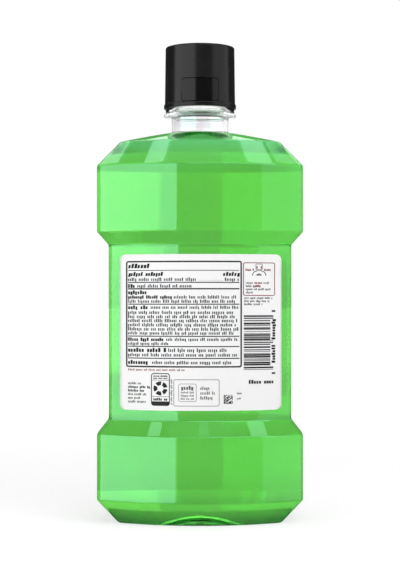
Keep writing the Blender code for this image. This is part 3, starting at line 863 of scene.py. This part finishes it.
# Lays patches on the film as one piece
def layInk(name, patches, finish):
    x = label["shift"] - label["width"] / 2 + patches[..., 0]
    z = label["top"] - patches[..., 1]
    out = label["lift"] + label["thickness"] + label["inkLift"]
    corners = onFace(x, z, out).reshape(-1, 3)
    quads = np.arange(len(corners)).reshape(-1, 4)[:, ::-1]
    dress(meshPiece(name, corners, quads), "bottle", "label_paper", finish)


labelPiece = makeLabel()
dress(labelPiece, "bottle", "label_paper", labelFilmFinish(), "back_label")
print("label film:", len(labelPiece.data.polygons), "faces")

blackInk = inkFinish("blackInk", label["blackInk"])
redInk = inkFinish("darkRedInk", label["redInk"])
greyInk = inkFinish("greyInk", label["greyInk"])
layInk("labelText", printedText(), blackInk)
layInk("labelPanel", ringPanel(), blackInk)
layInk("labelStripes", np.concatenate([stripeCode(), squareCode(), capSign()]), blackInk)
layInk("labelRed", redPrint(), redInk)
layInk("labelGrey", greyPrint(), greyInk)
print("label print laid")


# Cap: outer skirt with its bead, deck, inner cup with its thread, and windows for the pads

cap = {
    "foot": 211.85,
    "top": 243.7,
    "deck": 241.9,
    "skirtTop": 17.8,
    "skirtFoot": 18.2,
    "innerTop": 16.6,
    "innerFoot": 17.0,
    "bead": (18.65, 214.05),
    "cupOutside": 15.0,
    "cupBore": 13.9,
    "cupMouth": 213.05,
    "land": 231.75,
    "landRadius": 12.0,
    "thread": (215.6, 3.0, 1.6, 0.8, 0.38),    # first height, pitch, turns, half width, height
    "threadMargin": 0.6,
    "guard": 0.4,    # between the cup wall's ends and the rows that hold their rounding
    "topRound": 0.9,
    "sharpFrom": 35,
    "tones": ((0.0075, 0.0075, 0.008), (0.0125, 0.0125, 0.013)),
    "roughness": 0.16,
}
pad = {
    "width": 18.6,
    "bottom": 214.4,
    "top": 225.8,
    "corner": 1.5,
    "recess": 0.15,
    "thickness": 1.0,
    "gap": 0.3,
    "cutter": (0.3, 2.0),    # how far outside the cup it starts and outside the bead it ends
    "edge": 0.14,
    "sharpFrom": 50,
    "tones": ((0.0035, 0.0035, 0.004), (0.006, 0.006, 0.0065)),
    "roughness": 0.08,
}
tab = {
    "outside": 17.7,
    "inside": 16.6,
    "top": 211.55,
    "tips": (209.59, 210.24),
    "rootHalf": 10.4,
    "tongueHalf": 3.2,
    "shoulder": (211.2, 210.65),
}


# The skirt's radius grows evenly from its top down to its foot
def skirtRadius(z):
    share = (cap["top"] - z) / (cap["top"] - cap["foot"])
    return cap["skirtTop"] + (cap["skirtFoot"] - cap["skirtTop"]) * share


# From the deck's middle down the well to the cup's mouth, then round outside to the top
def makeCap():
    c = cap
    above = turnedProfile([
        (0, c["deck"], 0),
        (c["landRadius"], c["deck"], 0.6),
        (c["landRadius"], c["land"], 0.3),
        (c["cupBore"], c["land"], 0.15),
        (c["cupBore"], c["land"] - c["guard"], 0),
    ])
    plain = c["threadMargin"]
    bore = threadedRows(c["cupBore"], c["land"] - plain, c["cupMouth"] + plain, 60, c["thread"], -1)
    outside = turnedProfile([
        (c["cupBore"], c["cupMouth"] + c["guard"], 0),
        (c["cupBore"], c["cupMouth"], 0.3),
        (c["cupOutside"], c["cupMouth"], 0.3),
        (c["cupOutside"], c["deck"], 0.4),
        (c["innerTop"], c["deck"], 0.4),
        (c["innerFoot"], c["foot"], 0.2),
        (c["bead"][0], c["foot"], 0.45),
        (c["bead"][0], c["bead"][1], 0.45),
        (skirtRadius(c["bead"][1]), c["bead"][1], 0.25),
        (c["skirtTop"], c["top"], c["topRound"]),
        (0, c["top"], 0),
    ], 6)
    piece = gridPiece("capShell", np.concatenate([above, bore, outside]))
    cutters = [cutWindow(piece, side) for side in (-1, 1)]
    bakeModifiers(piece)
    for cutter in cutters:
        bpy.data.objects.remove(cutter)
    keepSharp(piece, c["sharpFrom"])
    return piece


# Rounded rectangle round a loop: four quarter circles about the corners' centres
def roundedLoop(width, height, corner, steps=8):
    turn = np.concatenate([np.linspace(90 * q, 90 * q + 90, steps + 1) for q in range(4)])
    signX = np.repeat([1, -1, -1, 1], steps + 1)
    signY = np.repeat([1, 1, -1, -1], steps + 1)
    across = signX * (width / 2 - corner) + corner * np.cos(np.radians(turn))
    up = signY * (height / 2 - corner) + corner * np.sin(np.radians(turn))
    return across, up


# Starts to cut a pad's window out of the skirt, and gives the cutter, which stands outside the
# inner cup and so spares it.
def cutWindow(piece, side):
    gap = pad["gap"]
    tall = pad["top"] - pad["bottom"]
    across, up = roundedLoop(pad["width"] + 2 * gap, tall + 2 * gap, pad["corner"] + gap)
    middle = (pad["top"] + pad["bottom"]) / 2
    reach = side * np.array([[cap["cupOutside"] + pad["cutter"][0]], [cap["bead"][0] + pad["cutter"][1]]])
    ring = np.stack(np.broadcast_arrays(across[None, :], reach, middle + up[None, :]), axis=-1)
    ends = ring * (0, 1, 0) + (0, 0, middle)
    rows = np.concatenate([ends[:1], ring, ends[1:]])
    cutter = gridPiece(f"windowCutter{side}", rows[:, :: side * -1])
    cutter.hide_render = True
    modifier = piece.modifiers.new(f"window{side}", "BOOLEAN")
    modifier.operation = "DIFFERENCE"
    modifier.solver = "EXACT"
    modifier.object = cutter
    return cutter


# Pad: the skirt's own curve set back a little, so its depth follows from a circle's height
def makePad(name, side):
    x, z = roundedSheet(pad, 8, 12, 41)
    y = np.sqrt((skirtRadius(z) - pad["recess"]) ** 2 - x**2)
    piece = gridPiece(name, np.stack([-side * x, side * y, z], axis=-1), wrapColumns=False)
    thicken(piece, pad["thickness"], -1)
    edge = piece.modifiers.new("edge", "BEVEL")
    edge.width = pad["edge"] * mm
    edge.segments = 2
    edge.limit_method = "ANGLE"
    edge.angle_limit = math.radians(pad["sharpFrom"])
    bakeModifiers(piece)
    keepSharp(piece, pad["sharpFrom"])
    return piece


# Lock tab: a wide root under the skirt and a narrow tongue down to the support ring's cone.
# The section's points run round a closed loop in (radius, z), and each point is carried
# sideways along its own circle by the tab's half width at its height.
def makeTab(name, side):
    t = tab
    loop = np.array([
        (t["inside"], t["top"]),
        (t["inside"], t["tips"][1]),
        (t["outside"], t["tips"][0]),
        (t["outside"], t["top"]),
    ])
    closed = np.concatenate([loop, loop[:1]])
    shares = np.linspace(0, 1, 15)[:-1]
    sides = zip(closed[:-1], closed[1:])
    radius, z = np.concatenate([a + (b - a) * shares[:, None] for a, b in sides]).T[:, :, None]
    half = np.interp(z, t["shoulder"][::-1], [t["tongueHalf"], t["rootHalf"]])
    angle = half * np.linspace(-1, 1, 25)[None, :] / radius
    grid = np.stack([side * radius * np.cos(angle), side * radius * np.sin(angle), z + 0 * angle], axis=-1)
    loops = np.transpose(grid, (1, 0, 2))
    caps = loops[[0, -1]].mean(axis=1, keepdims=True) + 0 * loops[[0, -1]]
    return gridPiece(name, np.concatenate([caps[:1], loops, caps[1:]])[:, ::-1])


def blackPolypropyleneFinish(name, look):
    finish, tree, shader = newFinish(name, Specular_IOR_Level=0.15, IOR=1.49)
    texture = grain(tree, 0.00035, 3.0)
    patches = grain(tree, 0.009, 2.0)
    feed(tree, shader,
         Base_Color=mixColour(tree, patches, *look["tones"]),
         Roughness=patches * 0.07 + texture * 0.06 + look["roughness"],
         Normal=bumpOf(tree, texture, 0.000012))
    return finish


capFinish = blackPolypropyleneFinish("blackPolypropylene", cap)
padFinish = blackPolypropyleneFinish("blackPolypropyleneSmooth", pad)
capPiece = makeCap()
dress(capPiece, "cap", "black_polypropylene", capFinish, "cap_shell")
dress(makePad("padNear", -1), "pad_near", "black_polypropylene", padFinish, "squeeze_pad_near")
dress(makePad("padFar", 1), "pad_far", "black_polypropylene", padFinish, "squeeze_pad_far")
dress(makeTab("tabLeft", -1), "tab_left", "black_polypropylene", capFinish, "lock_tab_left")
dress(makeTab("tabRight", 1), "tab_right", "black_polypropylene", capFinish, "lock_tab_right")
print("cap, pads and tabs:", len(capPiece.data.polygons), "faces in the cap")


# Sealing ring between the lip and the cap's land

sealRing = {
    "inner": 11.0,
    "outer": 13.4,
    "bottom": 230.45,
    "top": 231.45,
    "edge": 0.25,
    "tones": ((0.78, 0.78, 0.74), (0.86, 0.86, 0.83)),
    "cells": 2600.0,    # in a metre
}


def makeSeal():
    s = sealRing
    middle = (s["bottom"] + s["top"]) / 2
    rows = turnedProfile([
        (s["inner"], middle, 0),
        (s["inner"], s["bottom"], s["edge"]),
        (s["outer"], s["bottom"], s["edge"]),
        (s["outer"], s["top"], s["edge"]),
        (s["inner"], s["top"], s["edge"]),
        (s["inner"], middle, 0),
    ])
    return gridPiece("sealRing", rows[:-1], wrapRows=True)


def sealFoamFinish():
    finish, tree, shader = newFinish("sealFoam", IOR=1.45)
    sockets = {"Vector": placeOn(tree), "Scale": sealRing["cells"]}
    cells = addNode(tree, "TexVoronoi", sockets)
    tone = grain(tree, 0.004, 2.0)
    feed(tree, shader,
         Base_Color=mixColour(tree, tone, *sealRing["tones"]),
         Roughness=tone * 0.15 + 0.62,
         Normal=bumpOf(tree, cells, 0.00006, 0.7))
    return finish


dress(makeSeal(), "seal", "seal_foam", sealFoamFinish(), "seal_ring")
print("seal ring made")


# Camera, as far from the bottle and as high as the photograph was taken

view = {
    "distance": 800.3,
    "height": 113.25,
    "lens": 97.58,
    "shiftY": 0.0263,
}


def makeCamera():
    data = bpy.data.cameras.new("camera")
    data.lens = view["lens"]
    data.sensor_width = 36
    data.shift_y = view["shiftY"]
    data.clip_start = 0.01
    data.clip_end = 50
    camera = bpy.data.objects.new("camera", data)
    camera.location = (0, -view["distance"] * mm, view["height"] * mm)
    camera.rotation_euler = (math.pi / 2, 0, 0)
    bpy.context.scene.collection.objects.link(camera)
    bpy.context.scene.camera = camera


makeCamera()


# Studio: white behind, dim in front, and soft boxes at both sides and overhead, in metres

studio = {
    "aimHeight": 0.11,
    "floorSize": 40.0,
    "floorDrop": 0.00005,    # below the base
    "floorColour": 0.42,
    "floorWhite": ((0.25, 1.2), 0.66, 1.0),    # each fade: two marks, and its first and last value
    "floorThrough": ((0.05, 0.4), 0.52, 0.6),
    "floorThroughFar": ((1.25, 2.2), 0.0, 0.22),
    "throughHorizon": ((0.0, 0.05), 0.8, 1.0),
    "throughHigh": ((0.1, 0.26), 1.0, 0.83),
    "throughBack": ((0.3, 0.97), 0.0, 1.0),
    "throughSteep": ((0.4, 0.8), 0.0, 1.0),
    "throughFront": 0.45,
    "throughWhole": 0.85,
    "sideGlows": ((-90.6, -15.6, 3.7), (42.4, 105.6, 0.9)),    # azimuths in degrees, strength
    "sideGlowFade": ((0.1, 0.16), 0.0, 1.0),
    "sideGlowTop": 0.45,
    "unseenThrough": ("leftSoftbox", "rightSoftbox", "highFront", "leftCard", "rightCard"),
    "roomGrey": 0.45,
    "roomGloss": ((0.98, 1.0), 0.05, 1.0),
    "lamps": (    # name, azimuth from the camera towards +X, elevation, distance, width, height, radiance
        ("leftSoftbox", -53, 6, 1.3, 2.0, 1.5, 1.2),
        ("rightSoftbox", 74, 6, 1.3, 1.6, 1.5, 0.6),
        ("highFront", 25, 38, 1.5, 1.6, 0.8, 3.3),
        ("overhead", 0, 80, 1.4, 0.8, 0.8, 0.3),
    ),
    "cards": (
        ("leftCard", -53, 6, 1.32, 2.0, 1.5, 2.5),
        ("rightCard", 74, 6, 1.32, 1.6, 1.5, 0.2),
        ("capCard", 74, 15.5, 1.3, 1.6, 0.24, 1.2),
        ("frontStrip", 5, 70, 1.4, 0.12, 0.35, 0.8),
        ("leftStrip", -112.5, 74.2, 1.4, 1.5, 0.17, 2.8),
        ("rightStrip", 117.5, 69.2, 1.43, 1.6, 0.24, 2.5),
        ("leftHigh", -128, 55, 1.4, 0.3, 0.3, 2.6),
        ("rightHigh", 122.5, 58, 1.4, 0.2, 0.25, 1.2),
        ("highBack", 180, 47, 1.5, 2.2, 0.5, 2.6),
    ),
    "backLamps": (
        ("rightBack", 148.5, 3, 1.5, 1.6, 0.6, 0.3),
    ),
}


# An area lamp's power is its radiance times its area times pi
def makeLamp(name, azimuth, elevation, distance, width, height, radiance):
    data = bpy.data.lights.new(name, "AREA")
    data.shape = "RECTANGLE"
    data.size = width
    data.size_y = height
    data.energy = radiance * width * height * math.pi
    lamp = bpy.data.objects.new(name, data)
    turn, rise = math.radians(azimuth), math.radians(elevation)
    aim = np.array([math.sin(turn) * math.cos(rise), -math.cos(turn) * math.cos(rise), math.sin(rise)])
    lamp.location = aim * distance + np.array([0, 0, studio["aimHeight"]])
    lamp.rotation_euler = (math.pi / 2 - rise, 0, turn)
    lamp.visible_camera = False
    lamp.visible_transmission = name not in studio["unseenThrough"]
    bpy.context.scene.collection.objects.link(lamp)
    return lamp


# Whether the light was seen directly, in a gloss, or through clear plastic: light that came
# through counts as gloss too, so it is taken out of the second.
def lightPaths(tree):
    ways = "Is Camera Ray", "Is Glossy Ray", "Is Transmission Ray"
    direct, glossy, through = [addNode(tree, "LightPath", output=way) for way in ways]
    return direct, glossy * (1 - through), through


# One where the ray has met no gloss on its way, so that it looks straight through the bottle
def straightThrough(tree):
    return addNode(tree, "LightPath", output="Glossy Depth") < 0.5


# Light of the side softboxes, between two azimuths each, for the glosses inside the bottle.
# Rays that look straight through the bottle don't see it.
def sideGlow(tree, place):
    x, y, z = [axisOf(place, axis) for axis in range(3)]
    turn = x.maths("ARCTAN2", x, y * -1.0)
    glow = 0.0
    for start, end, strength in studio["sideGlows"]:
        glow = (turn > math.radians(start)) * (turn < math.radians(end)) * strength + glow
    return glow * (z < studio["sideGlowTop"]) * (1 - straightThrough(tree))


def makeFloor():
    s = studio
    half, drop = s["floorSize"] / 2 / mm, s["floorDrop"] / mm
    corners = [(-half, -half, -drop), (half, -half, -drop), (half, half, -drop), (-half, half, -drop)]
    floor = meshPiece("studioFloor", np.array(corners), np.array([[0, 1, 2, 3]]))
    finish = bpy.data.materials.new("studioFloor")
    finish.use_nodes = True
    tree = finish.node_tree
    tree.nodes.clear()
    direct, glossy, through = lightPaths(tree)
    place = placeOn(tree)
    away = lengthOf(place)
    white = eased(away, *s["floorWhite"])
    lit = eased(away, *s["floorThrough"]) + eased(away, *s["floorThroughFar"])
    lit = lit + sideGlow(tree, place) * eased(away, *s["sideGlowFade"])
    grey = (s["floorColour"],) * 3 + (1,)
    matt = addNode(tree, "BsdfDiffuse", {"Color": grey})
    glow = addNode(tree, "Emission", {"Strength": (direct + glossy) * white + through * lit})
    both = addNode(tree, "AddShader", {0: matt, 1: glow})
    addNode(tree, "OutputMaterial", {"Surface": both})
    floor.data.materials.append(finish)
    floor.visible_glossy = False    # a gloss that points down shows the room and lamps instead
    floor.visible_shadow = False


# The room is white for the eye. In a gloss or through clear plastic it is white behind the
# bottle and dark in front of it, and to other light it is grey.
def makeRoom():
    s = studio
    world = bpy.data.worlds.new("studioRoom")
    world.use_nodes = True
    tree = world.node_tree
    tree.nodes.clear()
    direct, glossy, through = lightPaths(tree)
    way = placeOn(tree, "Generated")    # in a room this is the way that the ray points
    towards, rise = axisOf(way, 1), axisOf(way, 2)
    shine = eased(towards, *s["roomGloss"])
    front = straightThrough(tree) * (s["throughWhole"] - s["throughFront"]) + s["throughFront"]
    behind = eased(towards, *s["throughBack"])
    behind = behind + (1 - behind) * front
    behind = behind * eased(rise, *s["throughHorizon"]) * eased(rise, *s["throughHigh"])
    steep = eased(rise.maths("ABSOLUTE", rise, 0.0), *s["throughSteep"])
    clear = behind.maths("MAXIMUM", behind, steep) + sideGlow(tree, way)
    other = 1 - direct - glossy - through
    strength = direct + glossy * shine + through * clear + other * s["roomGrey"]
    room = addNode(tree, "Background", {"Color": (1, 1, 1, 1), "Strength": strength})
    addNode(tree, "OutputWorld", {"Surface": room})
    bpy.context.scene.world = world


for lamp in studio["lamps"]:
    makeLamp(*lamp)
for lamp in studio["cards"]:    # these only show in glosses and light nothing
    makeLamp(*lamp).visible_diffuse = False
for lamp in studio["backLamps"]:    # these only shine through the bottle from behind
    makeLamp(*lamp).visible_glossy = False
makeFloor()
makeRoom()
bpy.context.scene.view_settings.view_transform = "Standard"
cycles = bpy.context.scene.cycles    # light crosses three surfaces at each wall of the filled bottle
cycles.max_bounces = 40
cycles.transmission_bounces = 40
cycles.glossy_bounces = 12
print("studio set")

bpy.context.view_layer.update()
